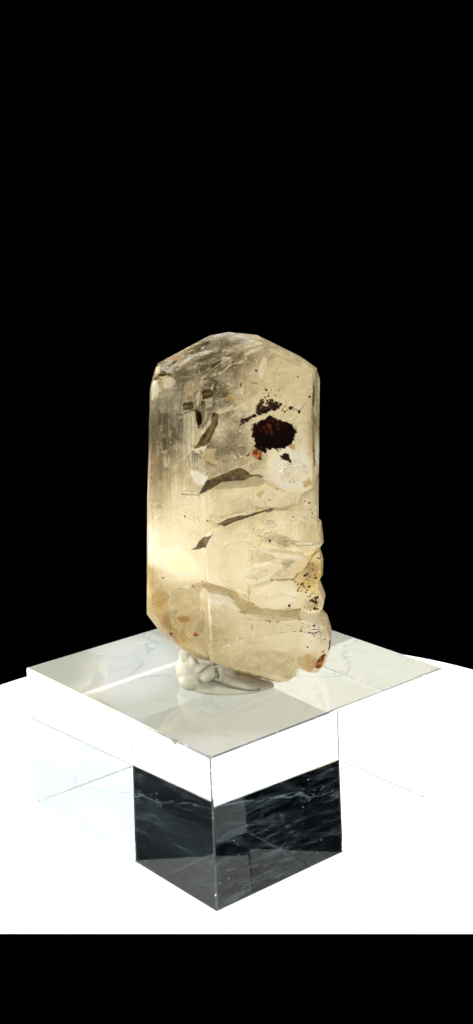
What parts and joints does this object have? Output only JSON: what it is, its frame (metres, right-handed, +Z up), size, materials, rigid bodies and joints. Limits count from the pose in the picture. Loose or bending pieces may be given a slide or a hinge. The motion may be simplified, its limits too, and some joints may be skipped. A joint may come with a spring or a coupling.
{
  "type": "gwindel quartz specimen on a display block",
  "caption": "Twisted stack of quartz crystals grown together, propped in mineral putty on a clear acrylic display block.",
  "frame": {"origin": "middle of the display block's underside", "axes": "+Z up, the way the specimen stands; the crystal's broad face looks towards -Y; +X to its right"},
  "size_m": [0.0714, 0.0714, 0.0832],
  "materials": {
    "quartz": "natural crystal faces, clear to milky, iron stained",
    "putty": "kneaded, matt",
    "acrylic": "polished, fine scratches"
  },
  "bodies": {
    "root": {"gwindel_quartz": "quartz", "mineral_putty": "putty", "acrylic_block": "acrylic"}
  },
  "joints": []
}
